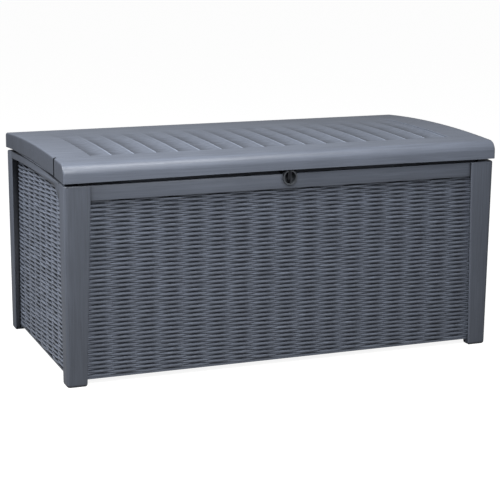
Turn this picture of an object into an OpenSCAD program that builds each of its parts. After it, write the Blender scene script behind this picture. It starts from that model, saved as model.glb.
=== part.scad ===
// Deck storage box: a moulded resin chest with a woven look and a crowned bench lid.
// The length runs along X, the front faces -Y, and the feet stand on Z = 0.

/* [Overall] */
// Length over the lid
box_w = 1295; // [1100:5:1500]
// Depth over the lid
box_d = 700; // [600:5:800]
// Height from the ground to the crown of the lid
box_h = 625; // [500:5:760]

/* [Lid] */
// Height of the lid from its lower edge to its crown
lid_h = 60; // [52:1:70]
// Gap between the posts and the lower edge of the lid
lid_gap = 9; // [7:0.5:12]
// Radius of the front-to-back arch of the lid
arch_r = 4800; // [3500:50:4900]
// How far the crown line lies in front of the middle
crown_forward = 40; // [20:5:80]
// Radius of the front nose
nose_r = 30; // [22:1:34]
// Radius of the back edge
back_edge_r = 12; // [8:1:20]
// Depth of the front moulding of the lid
nose_rail_d = 100; // [70:5:130]
// Wall of the lid mouldings
lid_wall = 3.5; // [2.5:0.5:4.5]
// Open joint between the two lid mouldings
lid_seam = 0.8; // [0.4:0.1:1.2]
// Rise of the lower front edge at its middle
edge_rise = 3; // [1:0.5:5]

/* [Seat pattern] */
// Distance between neighbouring ridges
scallop_pitch = 64; // [48:2:84]
// Width of the ridges between the scallops at the front
ridge_w = 3; // [2:0.5:12]
// Depth of a scallop at its front end
scallop_depth = 6; // [3:0.5:7]
// Plain band left at each end of the lid
end_band = 103; // [60:1:160]
// Length over which the scallops fade out
scallop_run = 430; // [370:10:460]
// Depth of the shallow field that holds the scallops, at its front end
field_depth = 4.5; // [2:0.5:6]

/* [Body] */
// Inset of the post faces from the lid's front and back
post_inset_y = 3; // [2:0.5:6]
// Inset of the post faces from the lid's ends
post_inset_x = 2.5; // [1.5:0.5:6]
// Width of a post's face at its top
post_w = 74; // [66:1:84]
// Width of a post's face at its foot
foot_w = 57.5; // [54:0.5:64]
// Depth of a post's side at its top
post_d = 58; // [54:1:68]
// Depth of a post's side at its foot
foot_d = 47; // [46:1:52]
// How far the front of a front post leans in at its foot
front_batter = 10; // [0:1:14]
// Radius of a post's outer corner
post_corner_r = 12; // [6:1:16]
// Height of the smooth rail along the front and back
rail_h = 40; // [34:1:56]
// Height of the smooth rail along the ends
end_rail_h = 19; // [16:1:30]
// Radius of the frame corner at the front end of each side panel
frame_arc_r = 45; // [20:1:60]
// Wall of the panels
panel_wall = 3.5; // [2.5:0.5:4]
// Height of the panels' lower edge above the ground
panel_foot_z = 17; // [12:1:30]
// Height of the rain lip above the rails
rain_lip = 14; // [8:1:14]
// Thickness of the floor
floor_t = 4; // [3:0.5:6]
// Wall of the hollow posts
post_wall = 3.5; // [2.5:0.5:4.5]
// Radius of the edge round a post's foot
foot_edge_r = 8; // [3:0.5:10]

/* [Weave] */
// Distance between neighbouring upright stakes
stake_pitch = 68.5; // [60:0.5:90]
// Width of a stake left bare between two bulges
stake_w = 8; // [4:0.5:12]
// Height of a band of strands
band_h = 12; // [10:1:24]
// How far a band stands out where it passes over a stake
band_rise = 3; // [1.5:0.5:4]

/* [Lock] */
// Outer radius of the lock cup
lock_r = 21; // [18:0.5:22]
// Radius of the padlock holes
lock_hole_r = 4.2; // [3:0.1:5]

/* [Hinges] */
// Distance of the outer hinges from the lid's ends
hinge_inset = 217.5; // [150:0.5:300]
// Radius of the hinge pins
hinge_pin_r = 3; // [2.5:0.25:3.5]
// Radius of the hinge knuckles
knuckle_r = 6; // [5.5:0.25:6]
// Length of a lid knuckle
lid_knuckle = 30; // [20:1:50]
// Length of a body knuckle
body_knuckle = 22; // [12:1:40]

/* [Gas struts] */
// Radius of the strut tube
tube_r = 9; // [7:0.5:9]
// Radius of the strut rod
rod_r = 4; // [3:0.5:5]
// Length of the tube from its pivot to its gland
tube_l = 185; // [165:1:190]
// How far the lower pivot lies below the upper pivot
strut_drop = 209.3; // [206:0.1:213]
// Distance of the lower pivot from the back of the lid
tube_pivot_in = 88; // [84:1:92]
// Distance of the upper pivot from the back of the lid
rod_pivot_in = 160; // [156:1:164]

/* [Hidden] */

$fn = 48;
eps = 0.01;
// Clearance of parts that seat in each other without sliding
seat = 0.3;
// Radial clearance of a pin or rod that turns or slides
run = 0.05;

anthracite = [0.31, 0.33, 0.38];
charcoal = [0.2, 0.21, 0.24];
steel = [0.7, 0.71, 0.73];

// Lid
lid_z = box_h - lid_h;
lid_x = box_w / 2;
lid_y = box_d / 2;
lid_top_t = scallop_depth + field_depth + lid_wall;
arch_fn = 1440;
seam_y = -lid_y + nose_rail_d;
liner_z = lid_z - lid_gap - 1 + rain_lip + seat;
liner_t = 3;

// Seat pattern: a shallow field whose floor is an arch of its own and rises out of the lid's
// arch after field_run. Each channel in it is a ring of round section whose path starts
// scallop_depth under that floor at the seam and rises out of it after scallop_run.
field_w = box_w - 2 * end_band;
field_run = scallop_run + 80;
field_lip = 4;
scallop_n = floor(field_w / scallop_pitch);
scallop_half = (scallop_pitch - ridge_w) / 2;
scallop_r = (pow(scallop_half, 2) + pow(scallop_depth, 2)) / (2 * scallop_depth);
field_bend = 1 / arch_r - 2 * field_depth / pow(field_run, 2);
seam_slope = (seam_y + crown_forward) / arch_r;
floor_arch = seat_arch(field_bend, field_depth);
path = seat_arch(field_bend - 2 * scallop_depth / pow(scallop_run, 2), field_depth + scallop_depth);

// Body
post_x = lid_x - post_inset_x;
post_y = lid_y - post_inset_y;
post_z = lid_z - lid_gap;
rail_z = post_z - 1;
// Depths of the walls, from the post face to the storage space
front_depth = 42;
end_depth = 40;
inner_x = post_x - end_depth;
inner_y = post_y - front_depth;
// Insets of the front, back and end rails from the post face
rail_back = 7;
back_rail_back = rail_back + 4;
end_face = 0.8;
// Radius of a post's other edges
inner_edge_r = 4;
// Solid core at the corner of a post
post_core = 30;
// Height of the flange that hangs from the rails on the inside
inner_flange_h = 16;
// Lip along the foot of the woven face: how far it stands out, and its height
foot_lip = 3;
foot_lip_h = 6;
panel_end_x = post_x - foot_w + 11.5;
panel_end_y = post_y - foot_d + 2.5;

// Depth of the woven face behind the post face, at the rail and at the foot
front_weave = [20, 26];
back_weave = [20, 20];
end_weave = [27, 20];

// Floor
floor_z = panel_foot_z + panel_wall + seat;
floor_rib_h = 10;

// Ribs of the walls: how far they sink into what they join, and how far they stand in
rib_bite = 1;
rib_stand = 8;
// Length over which a rib widens into the rail
rib_head = 60;

// Lock: its centre, the padlock holes, the tab and the wall of the cup
lock_z = rail_z - 10;
lock_hole_y = -post_y + 13;
lock_hole_z = lock_z - 3;
tab_t = 3;
tab_x = 2.5;
tab_r = 7.5;
tab_plate_l = 44;
cup_front = 1.5;
cup_back = 29;
cup_wall = 3.5;

// Hinge
hinge_pitch = lid_x - hinge_inset;
hinge_y = lid_y - 6.5;
hinge_z = rail_z;
knuckle_gap = 0.4;
gusset_h = 26;

// Struts
strut_x = inner_x - 16;
tube_pivot_y = lid_y - tube_pivot_in;
rod_pivot_y = lid_y - rod_pivot_in;
rod_pivot_z = liner_z - 16;
tube_pivot_z = rod_pivot_z - strut_drop;
strut_l = norm([tube_pivot_in - rod_pivot_in, strut_drop]);
strut_tilt = atan2(rod_pivot_in - tube_pivot_in, strut_drop);
pivot_r = 4;
eye_r = 8;
eye_t = 8;
tube_wall = 1.5;
// Where the tube starts above its pivot, and the solid ends of its bore
tube_start = 13;
tube_foot = 6;
gland_l = 14;
// Where the piston starts above the lower pivot, and its length
piston_z = 26;
piston_l = 8;
clip_t = 1.5;

// Strut brackets and their screws
plate_t = 3;
bracket_face = inner_x - seat;
bracket_w = 20;
ear_r = 12;
upper_plate_l = 44;
upper_screw_x = 12;
lower_screw_dz = 22;
upper_screw_dy = 14;
screw_r = 2;
// Room between a screw's tip and the foot of its hole
screw_tip = 0.5;
lower_screw_l = plate_t + seat + end_depth - wall_skin(end_weave)[0] - 2 * screw_tip;
upper_screw_l = plate_t + 7;
screw_head_t = 2;
boss_h = 9;

// Height of the arch at depth y
function arch_height(y) = box_h - arch_r + sqrt(pow(arch_r, 2) - pow(y + crown_forward, 2));

// Arch that runs beside the lid's at the seam, drop below it: [radius, centre y, centre z]
function seat_arch(bend, drop) = let (r = 1 / bend, y = seam_y - r * seam_slope)
    [r, y, arch_height(seam_y) - drop - sqrt(pow(r, 2) - pow(seam_y - y, 2))];

// Places a shape drawn in the Y-Z plane and extruded along X
module along_x(length) rotate([90, 0, 90]) linear_extrude(length, center = true) children();

// Rounded rectangle, centred
module pad_2d(w, d, r) {
    square([w - 2 * r, d], center = true);
    square([w, d - 2 * r], center = true);
    for (sx = [-1, 1], sy = [-1, 1]) translate([sx * (w / 2 - r), sy * (d / 2 - r)]) circle(r);
}

// ---------------------------------------------------------------- body panels

// Wall section, drawn with the post face at x = 0 and the inside towards +x.
// rail_face is how far the rail stands behind the post face.
module wall_section(weave, rail_face, rail_height, depth, lip_at) {
    rail_foot = rail_z - rail_height;
    t = panel_wall;
    skin = wall_skin(weave);
    polygon([[skin[1], panel_foot_z], [skin[0], rail_foot + t],
             [skin[0] + t, rail_foot + t], [skin[1] + t, panel_foot_z]]);
    translate([rail_face, rail_foot]) square([t, rail_height]);
    translate([rail_face, rail_foot]) square([skin[0] + t - rail_face, t]);
    translate([rail_face, rail_z - t]) square([depth - rail_face, t]);
    translate([depth - t, rail_z - inner_flange_h]) square([t, inner_flange_h]);
    translate([skin[1], panel_foot_z]) square([depth - skin[1], t]);
    translate([weave[1] - foot_lip, panel_foot_z]) square([foot_lip + band_rise + t, foot_lip_h]);
    translate([lip_at, rail_z - t]) square([t, t + rain_lip]);
}

// Depths of the plain skin that carries the woven bands
function wall_skin(weave) = [weave[0] + band_rise, weave[1] + band_rise];

// Woven face of a wall, drawn like its section: each band passes over every second stake in
// a shallow round bulge and under the ones between, and neighbouring bands take turns. A stake
// stands at the middle of the wall.
module woven_face(half_length, weave, rail_height) {
    skin = wall_skin(weave);
    wall_h = rail_z - rail_height + panel_wall - panel_foot_z;
    // the bands run from inside the foot lip to inside the rail
    low = foot_lip_h - rib_bite;
    bands = 2 * round((wall_h - low) / band_h / 2);
    // whole hundredths, so that neighbouring bands meet exactly
    pitch = floor(100 * (wall_h - low - rib_bite) / bands) / 100;
    bulge_half = stake_pitch - stake_w / 2;
    bulge_r = (pow(bulge_half, 2) + pow(band_rise, 2)) / (2 * band_rise);
    stakes = ceil(half_length / stake_pitch);
    translate([skin[1], panel_foot_z]) rotate(atan2(skin[1] - skin[0], wall_h))
        for (turn = [0, 1]) intersection() {
            linear_extrude(2 * half_length, center = true)
                for (i = [turn : 2 : bands - 1])
                    translate([-band_rise, low + i * pitch]) square([band_rise + rib_bite, pitch]);
            rotate([-90, 0, 0]) linear_extrude(wall_h) intersection() {
                translate([-band_rise, -half_length]) square([band_rise + rib_bite, 2 * half_length]);
                for (i = [-stakes : stakes]) if ((i + stakes + turn) % 2 == 0)
                    translate([bulge_r - band_rise, i * stake_pitch]) circle(bulge_r, $fn = 360);
            }
        }
}

// Space that the end of a wall takes inside a post: behind its woven face, and behind
// its rail where the post covers the rail too
module wall_pocket(weave, rail_face, rail_height, depth) {
    rail_foot = rail_z - rail_height - seat;
    foot = panel_foot_z - seat;
    lip_top = foot + foot_lip_h + 2;
    lip_face = weave[1] - foot_lip - seat;
    polygon([[lip_face, foot], [lip_face, lip_top], [weave[1] - seat, lip_top],
             [weave[0] - seat, rail_foot], [rail_face - seat, rail_foot],
             [rail_face - seat, box_h], [2 * depth, box_h], [2 * depth, foot]]);
}

// Upright stiffeners on the inside of a wall
module wall_ribs(half_length, count, weave, depth) {
    skin = wall_skin(weave);
    rib_step = 2 * half_length / (count + 1);
    rib_foot_z = floor_z + floor_t + seat;
    for (i = [1 : count]) translate([0, 0, -half_length + i * rib_step])
        linear_extrude(panel_wall, center = true)
            polygon([[skin[1] + rib_bite, rib_foot_z],
                     [skin[0] + rib_bite, rail_z - end_rail_h],
                     [skin[0] + rib_bite, rail_z - rib_bite],
                     [depth - rib_bite, rail_z - rib_bite],
                     [depth - rib_bite, rail_z - inner_flange_h + rib_bite],
                     [skin[0] + rib_stand, rail_z - rib_head],
                     [skin[1] + rib_stand, rib_foot_z]]);
}

// Turns a wall drawn along +Z so that it stands on the front, and so on round the box
module on_front() translate([0, -post_y, 0]) rotate([90, 0, 90]) children();
module on_back() translate([0, post_y, 0]) rotate([90, 0, -90]) children();
module on_left() translate([-post_x, 0, 0]) rotate([90, 0, 0]) children();
module on_right() mirror([1, 0, 0]) on_left() children();

// U-shaped outline round the lock: open above its centre
module lock_outline(r) {
    circle(r);
    translate([-r, 0]) square([2 * r, rail_z - lock_z + rain_lip + 1]);
}

module front_panel() color(anthracite) {
    rim_w = 4;
    rim_stand = 1.5;
    difference() {
        union() {
            on_front() {
                linear_extrude(2 * panel_end_x, center = true)
                    wall_section(front_weave, rail_back, rail_h, front_depth, front_weave[0] + 3);
                woven_face(panel_end_x, front_weave, rail_h);
                wall_ribs(panel_end_x, 9, front_weave, front_depth);
            }
            // raised rim round the lock
            translate([0, -post_y + rail_back + 1, lock_z]) rotate([90, 0, 0])
                linear_extrude(1 + rim_stand) intersection() {
                    lock_outline(lock_r + rim_w);
                    translate([-lock_r - rim_w, -lock_r - rim_w])
                        square([2 * (lock_r + rim_w), rail_z - lock_z + lock_r + rim_w]);
                }
        }
        translate([0, 0, lock_z]) rotate([90, 0, 0])
            linear_extrude(box_d) lock_outline(lock_r + seat);
    }
}

module back_panel() color(anthracite) {
    difference() {
        union() {
            on_back() {
                linear_extrude(2 * panel_end_x, center = true)
                    wall_section(back_weave, back_rail_back, rail_h, front_depth, back_weave[0] + 3);
                woven_face(panel_end_x, back_weave, rail_h);
                wall_ribs(panel_end_x, 9, back_weave, front_depth);
            }
            for (x = hinge_pitch * [-1, 0, 1], s = [-1, 1])
                translate([x + s * body_knuckle_x(), 0, 0]) body_knuckle_arm();
        }
        for (x = hinge_pitch * [-1, 0, 1]) translate([x, hinge_y, hinge_z])
            rotate([0, 90, 0]) cylinder(r = hinge_pin_r, h = 4 * lid_knuckle, center = true);
    }
}

function body_knuckle_x() = (lid_knuckle + body_knuckle) / 2 + knuckle_gap;

module body_knuckle_arm() {
    root_y = post_y - back_rail_back - panel_wall + eps;
    translate([0, hinge_y, hinge_z]) rotate([0, 90, 0])
        cylinder(r = knuckle_r, h = body_knuckle, center = true);
    translate([-body_knuckle / 2, root_y, hinge_z - knuckle_r])
        cube([body_knuckle, hinge_y - root_y, knuckle_r]);
    // gusset under the arm
    translate([0, hinge_y, hinge_z]) along_x(panel_wall)
        polygon([[root_y - hinge_y, -gusset_h], [root_y - hinge_y, 0], [0, 0], [0, -knuckle_r]]);
}

// End wall of the left side; its front end points along +z of the drawing
module end_panel() {
    face_end_y = post_y - post_d - seat;
    difference() {
        union() {
            linear_extrude(2 * panel_end_y, center = true)
                wall_section(end_weave, end_face, end_rail_h, end_depth, end_weave[0] + 0.5);
            woven_face(panel_end_y, end_weave, end_rail_h);
            wall_ribs(panel_end_y, 4, end_weave, end_depth);
            // hollow-sided corner of the frame beside the front post
            translate([end_face, rail_z - end_rail_h, face_end_y]) rotate([0, 90, 0])
                linear_extrude(wall_skin(end_weave)[0] + rib_bite - end_face) frame_corner_2d();
            bracket_seats() cylinder(r = 3.5 * screw_r, h = end_depth - wall_skin(end_weave)[0]);
        }
        bracket_seats() translate([0, 0, screw_tip]) cylinder(r = screw_r, h = end_depth);
        // the smooth rail stops between the posts
        for (s = [-1, 1]) translate([-1, rail_z - end_rail_h - eps, s * (face_end_y + post_d / 2)])
            translate([0, 0, -post_d / 2])
                cube([end_weave[0] + 1, end_rail_h + 1, post_d]);
    }
}

// Seats of the lower strut bracket, drawn from inside the wall's skin inwards
module bracket_seats()
    for (s = [-1, 1])
        translate([wall_skin(end_weave)[0], tube_pivot_z + s * lower_screw_dz, -tube_pivot_y])
            rotate([0, 90, 0]) children();

// Corner piece with a hollow round side; it fills the angle between rail and post
module frame_corner_2d() difference() {
    translate([0, -frame_arc_r]) square([frame_arc_r, frame_arc_r + 1]);
    translate([frame_arc_r, -frame_arc_r]) circle(frame_arc_r, $fn = 96);
}

module left_panel() color(anthracite) on_left() end_panel();
module right_panel() color(anthracite) on_right() end_panel();

// ---------------------------------------------------------------- corner posts

// Plan of a post with its outer corner at the origin and its body towards +x and +y
module post_plan(w, d, inset = 0) {
    hull() for (i = [0, 1], j = [0, 1]) {
        r = max((i + j == 0 ? post_corner_r : inner_edge_r) - inset, 1);
        in = r + inset;
        translate([i == 0 ? in : w - in, j == 0 ? in : d - in]) circle(r, $fn = 32);
    }
}

module post_level(z, w, d, lean, inset = 0)
    translate([0, lean, z]) linear_extrude(eps) post_plan(w, d, inset);

// Section of the hollow behind a post's outer wall, drawn like the wall that ends in it
module arm_hollow(lean, weave, rail_height) {
    top = rail_z - rail_height - seat;
    polygon([[post_wall + lean, post_wall], [post_wall + lean * (1 - top / post_z), top],
             [weave[0], top], [weave[1], post_wall]]);
}

// Post on the left front corner; lean is how far its foot stands back
module post(lean, weave, rail_face) {
    top_edge = 1.5;
    difference() {
        translate([-post_x, -post_y, 0]) hull() {
            for (a = [0 : 30 : 90])
                post_level(foot_edge_r * (1 - cos(a)), foot_w, foot_d, lean, foot_edge_r * (1 - sin(a)));
            post_level(post_z - top_edge, post_w, post_d, 0);
            post_level(post_z - eps, post_w, post_d, 0, top_edge);
        }
        // both arms are hollow, and open towards the walls
        translate([-post_x + post_core, 0, 0]) on_front()
            linear_extrude(post_w) arm_hollow(lean, weave, rail_h);
        translate([0, -post_y + post_core + post_w, 0]) on_left()
            linear_extrude(post_w) arm_hollow(0, end_weave, end_rail_h);
        // ends of the two walls
        translate([-panel_end_x - seat, 0, 0]) on_front()
            linear_extrude(post_w) wall_pocket(weave, rail_face, rail_h, front_depth);
        translate([0, -panel_end_y - seat + post_w, 0]) on_left()
            linear_extrude(post_w) wall_pocket(end_weave, end_weave[0], end_rail_h, end_depth);
        // storage space
        translate([-inner_x - 2, -inner_y - 2, -eps]) cube([post_w, post_d, box_h]);
    }
}

module front_post() post(front_batter, front_weave, rail_back);
module back_post() mirror([0, 1, 0]) post(0, back_weave, back_rail_back);

module post_front_left() color(anthracite) front_post();
module post_front_right() color(anthracite) mirror([1, 0, 0]) front_post();
module post_back_left() color(anthracite) back_post();
module post_back_right() color(anthracite) mirror([1, 0, 0]) back_post();

// ---------------------------------------------------------------- floor

module floor_panel() color(anthracite) {
    fx = post_x - wall_skin(end_weave)[1] - panel_wall - seat;
    fy = post_y - wall_skin(front_weave)[1] - panel_wall - seat;
    flange_x = inner_x - seat - 0.5;
    flange_y = inner_y - seat - 0.5;
    rib_step_x = (flange_x - panel_wall / 2) / 4;
    rib_step_y = (flange_y - panel_wall / 2) / 2;
    notch = post_w + 2;
    difference() {
        union() {
            translate([-fx, -fy, floor_z]) cube([2 * fx, 2 * fy, floor_t]);
            // grid of ribs inside the flanges of the walls
            for (i = [-4 : 4])
                translate([i * rib_step_x - panel_wall / 2, -flange_y, floor_z - floor_rib_h])
                    cube([panel_wall, 2 * flange_y, floor_rib_h + rib_bite]);
            for (i = [-2 : 2])
                translate([-flange_x, i * rib_step_y - panel_wall / 2, floor_z - floor_rib_h])
                    cube([2 * flange_x, panel_wall, floor_rib_h + rib_bite]);
        }
        // corners left free for the posts
        for (sx = [-1, 1], sy = [-1, 1])
            translate([sx * (inner_x - 12 + notch / 2), sy * (inner_y - 8 + notch / 2), floor_z])
                cube([notch, notch, 4 * floor_rib_h], center = true);
    }
}

// ---------------------------------------------------------------- lock

// Upright plate inside the cup with the hole for a padlock
module lock_eye() color(charcoal) difference() {
    intersection() {
        lock_disc(lock_r - cup_wall - seat, cup_front + 2, cup_back - cup_wall - seat);
        translate([tab_x - tab_t / 2, -box_d, 0]) cube([tab_t, 2 * box_d, lid_z - seat]);
    }
    lock_hole();
}

// Round cup in the front rail, open to the front
module lock_cup() color(charcoal) difference() {
    lock_disc(lock_r, cup_front, cup_back);
    lock_disc(lock_r - cup_wall, cup_front - 1, cup_back - cup_wall);
    // slot that lets the lid's tab drop in
    translate([-tab_x - tab_t / 2 - 1, -box_d, lock_z])
        cube([tab_t + 2, box_d - post_y + cup_back - cup_wall, box_h]);
    // the cup stays below the lid
    translate([-2 * lock_r, -box_d, lid_z - 0.5]) cube([4 * lock_r, box_d, box_h]);
}

// Disc round the lock's centre between two depths behind the post face
module lock_disc(r, front, back) translate([0, -post_y + back, lock_z]) rotate([90, 0, 0])
    cylinder(r = r, h = back - front);

module lock_hole() translate([0, lock_hole_y, lock_hole_z]) rotate([0, 90, 0])
    cylinder(r = lock_hole_r, h = 2 * lock_r - 2 * cup_wall - 1, center = true);

// Tab of the lid that drops into the cup beside the eye
module lid_lock_tab() color(charcoal) difference() {
    union() {
        translate([-tab_x - tab_t / 2, lock_hole_y - tab_r, lock_hole_z])
            cube([tab_t, 2 * tab_r, liner_z - seat - lock_hole_z]);
        translate([-tab_x, lock_hole_y, lock_hole_z]) rotate([0, 90, 0])
            cylinder(r = tab_r, h = tab_t, center = true);
        translate([-tab_plate_l / 2, lock_hole_y - tab_r, liner_z - seat - tab_t])
            cube([tab_plate_l, 2 * tab_r, tab_t]);
    }
    lock_hole();
}

// ---------------------------------------------------------------- lid

// Side view of the lid, shrunk by an inset; top_inset is how far its top drops
module lid_side_2d(inset, top_inset) {
    r = arch_r - top_inset;
    cz = box_h - arch_r;
    fr = nose_r - inset;
    br = back_edge_r - inset;
    fy = -lid_y + nose_r;
    by = lid_y - back_edge_r;
    fz = cz + sqrt(pow(r - fr, 2) - pow(fy + crown_forward, 2));
    bz = cz + sqrt(pow(r - br, 2) - pow(by + crown_forward, 2));
    f_out = [fy + crown_forward, fz - cz] / (r - fr);
    b_out = [by + crown_forward, bz - cz] / (r - br);
    low = lid_z - (inset > 0 ? 10 : 0);
    intersection() {
        union() {
            translate([fy, fz]) circle(fr, $fn = 128);
            translate([by, bz]) circle(br, $fn = 128);
            translate([fy - fr, low]) square([fr + eps, fz - low]);
            translate([by - eps, low]) square([br + eps, bz - low]);
            intersection() {
                translate([-crown_forward, cz]) circle(r, $fn = arch_fn);
                polygon([[fy, low], [fy, fz], [fy, fz] + 2 * nose_r * f_out,
                         [by, bz] + 2 * nose_r * b_out, [by, bz], [by, low]]);
            }
        }
        translate([-lid_y, low]) square([box_d, box_h]);
    }
}

// Ring of round section that cuts one channel of the seat pattern
module scallop(x) {
    start = asin((seam_y - path[1] - 12) / path[0]);
    end = asin((seam_y + scallop_run + 20 - path[1]) / path[0]);
    translate([x, path[1], path[2]]) rotate([90, 0, 90]) rotate([0, 0, 90 - end])
        rotate_extrude(angle = end - start, $fn = arch_fn)
            translate([path[0] + scallop_r, 0]) circle(scallop_r, $fn = 96);
}

// Shallow field of the seat pattern: what lies above its arched floor
module seat_field() along_x(scallop_n * scallop_pitch + 2 * field_lip) difference() {
    translate([seam_y - 10, lid_z]) square([field_run + 30, box_h]);
    translate([floor_arch[1], floor_arch[2]]) circle(floor_arch[0], $fn = arch_fn);
}

// Everything behind the seam, or in front of it
module behind(y) translate([-box_w, y, 0]) cube([2 * box_w, box_d, 2 * box_h]);
module in_front(y) translate([-box_w, y - box_d, 0]) cube([2 * box_w, box_d, 2 * box_h]);

module lid_shell() color(anthracite) {
    tongue = 15;
    // the tongue starts above the liner
    tongue_z = liner_z + 1.5 * liner_t + seat;
    difference() {
        union() {
            difference() {
                intersection() {
                    along_x(box_w) lid_side_2d(0, 0);
                    behind(seam_y + lid_seam / 2);
                }
                along_x(box_w - 2 * lid_wall) lid_side_2d(lid_wall, lid_top_t);
                seat_field();
                for (i = [0 : scallop_n - 1]) scallop((i - (scallop_n - 1) / 2) * scallop_pitch);
            }
            // tongue that carries the front moulding
            intersection() {
                difference() {
                    along_x(box_w - 2 * lid_wall - 2 * seat) lid_side_2d(lid_wall, lid_top_t - 1.5);
                    along_x(box_w - 4 * lid_wall) lid_side_2d(lid_wall, lid_top_t + 1);
                }
                behind(seam_y - tongue);
                in_front(seam_y + tongue);
                translate([-box_w, -box_d, tongue_z]) cube([2 * box_w, 2 * box_d, box_h]);
            }
            for (x = hinge_pitch * [-1, 0, 1]) translate([x, 0, 0]) lid_knuckle_arm();
        }
        for (x = hinge_pitch * [-1, 0, 1]) translate([x, hinge_y, hinge_z])
            rotate([0, 90, 0]) cylinder(r = hinge_pin_r + run, h = lid_knuckle + 10, center = true);
    }
}

module lid_knuckle_arm() {
    translate([0, hinge_y, hinge_z]) rotate([0, 90, 0])
        cylinder(r = knuckle_r, h = lid_knuckle, center = true);
    translate([-lid_knuckle / 2, hinge_y - 2, hinge_z])
        cube([lid_knuckle, lid_y - lid_wall - hinge_y + 3, liner_z - 2 - hinge_z]);
}

// Front moulding of the lid with its round nose
module lid_nose_rail() color(anthracite) difference() {
    intersection() {
        along_x(box_w) lid_side_2d(0, 0);
        in_front(seam_y - lid_seam / 2);
    }
    along_x(box_w - 2 * lid_wall) lid_side_2d(lid_wall, lid_top_t - 1.5 - seat);
    translate([0, -lid_y - 1, 0]) rotate([90, 0, 180]) linear_extrude(20) rising_edge_2d();
}

// Segment that lets the lower front edge rise towards its middle
module rising_edge_2d() {
    half = lid_x - 20;
    polygon(concat([[half, lid_z - 5], [-half, lid_z - 5]],
                   [for (i = [-8 : 8]) [i / 8 * half, lid_z + edge_rise * cos(90 * i / 8)]]));
}

module lid_liner() color(anthracite) {
    half_x = lid_x - lid_wall - seat;
    half_y = lid_y - lid_wall - seat;
    cells_x = 5;
    cells_y = 2;
    border_x = 40;
    border_y = 66;
    step_x = 2 * (half_x - border_x) / cells_x;
    step_y = 2 * (half_y - border_y) / cells_y;
    coffer_h = 14;
    coffer_r = 22;
    land = 28;
    difference() {
        union() {
            translate([0, 0, liner_z + liner_t / 2]) cube([2 * half_x, 2 * half_y, liner_t], center = true);
            liner_cells(cells_x, cells_y, step_x, step_y)
                linear_extrude(coffer_h + liner_t) pad_2d(step_x - land, step_y - land, coffer_r);
            lid_bracket_seats() cylinder(r = 3 * screw_r, h = boss_h);
        }
        translate([0, 0, -eps]) liner_cells(cells_x, cells_y, step_x, step_y)
            linear_extrude(coffer_h)
                pad_2d(step_x - land - 2 * liner_t, step_y - land - 2 * liner_t, coffer_r - liner_t);
        lid_bracket_seats() translate([0, 0, -1]) cylinder(r = screw_r, h = boss_h);
    }
}

module liner_cells(nx, ny, sx, sy)
    for (i = [0 : nx - 1], j = [0 : ny - 1])
        translate([(i - (nx - 1) / 2) * sx, (j - (ny - 1) / 2) * sy, liner_z]) children();

// ---------------------------------------------------------------- hinge pins

module hinge_pin(x) color(steel) translate([x, hinge_y, hinge_z]) rotate([0, 90, 0]) {
    l = lid_knuckle + 2 * body_knuckle + 2 * knuckle_gap + 3;
    cylinder(r = hinge_pin_r, h = l, center = true);
    translate([0, 0, -l / 2 - 2]) cylinder(r = hinge_pin_r + 1.5, h = 2);
}

module hinge_pin_left() hinge_pin(-hinge_pitch);
module hinge_pin_middle() hinge_pin(0);
module hinge_pin_right() hinge_pin(hinge_pitch);

// ---------------------------------------------------------------- gas struts

module both_screws_lower() for (s = [-1, 1])
    translate([-bracket_face, tube_pivot_y, tube_pivot_z + s * lower_screw_dz])
        rotate([0, 90, 0]) children();

// Plate on the end wall with the pin that the strut turns on
module strut_bracket() color(charcoal) difference() {
    union() {
        translate([-bracket_face, tube_pivot_y, tube_pivot_z]) rotate([0, 90, 0]) linear_extrude(plate_t)
            rotate(90) pad_2d(bracket_w, 2 * lower_screw_dz + bracket_w - 2, bracket_w / 2 - 1);
        translate([-bracket_face, tube_pivot_y, tube_pivot_z]) rotate([0, 90, 0]) {
            cylinder(r = pivot_r, h = bracket_face - strut_x + eye_t / 2 + 2 * clip_t + 2);
            cylinder(r = pivot_r + 3, h = bracket_face - strut_x - eye_t / 2 - 0.5);
        }
    }
    translate([-1, 0, 0]) both_screws_lower() cylinder(r = screw_r, h = plate_t + 2);
}

// Ring that keeps the strut's eye on the pin
module strut_clip() color(steel) translate([-strut_x + eye_t / 2 + 0.5, tube_pivot_y, tube_pivot_z])
    rotate([0, 90, 0]) difference() {
        cylinder(r = pivot_r + 2.5, h = clip_t);
        translate([0, 0, -1]) cylinder(r = pivot_r, h = 4);
    }

// Frame with its origin at the lower pivot and +z along the strut
module strut_frame(side)
    translate([side * strut_x, tube_pivot_y, tube_pivot_z]) rotate([strut_tilt, 0, 0]) children();

module strut_tube(side) color(charcoal) strut_frame(side) difference() {
    union() {
        rotate([0, 90, 0]) cylinder(r = eye_r, h = eye_t, center = true);
        translate([0, 0, eye_r - 1.5]) cylinder(r = 3.5, h = tube_start - eye_r + 3);
        translate([0, 0, tube_start]) cylinder(r = tube_r, h = tube_l - tube_start);
    }
    translate([0, 0, tube_start + tube_foot])
        cylinder(r = tube_r - tube_wall, h = tube_l - tube_start - tube_foot - gland_l);
    translate([0, 0, tube_l / 2]) cylinder(r = rod_r + run, h = tube_l);
    rotate([0, 90, 0]) cylinder(r = pivot_r + run, h = 2 * eye_t, center = true);
}

module strut_rod(side) color(steel) strut_frame(side) {
    stub_l = bracket_face - plate_t - strut_x - 0.4;
    translate([0, 0, piston_z]) cylinder(r = rod_r, h = strut_l - piston_z - eye_r / 2);
    translate([0, 0, piston_z]) cylinder(r = tube_r - tube_wall - run, h = piston_l);
    translate([0, 0, strut_l]) rotate([0, 90, 0]) cylinder(r = eye_r, h = eye_t, center = true);
    // stub towards the lid bracket
    translate([side * stub_l / 2, 0, strut_l]) rotate([0, 90, 0])
        cylinder(r = pivot_r + 2, h = stub_l, center = true);
}

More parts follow.
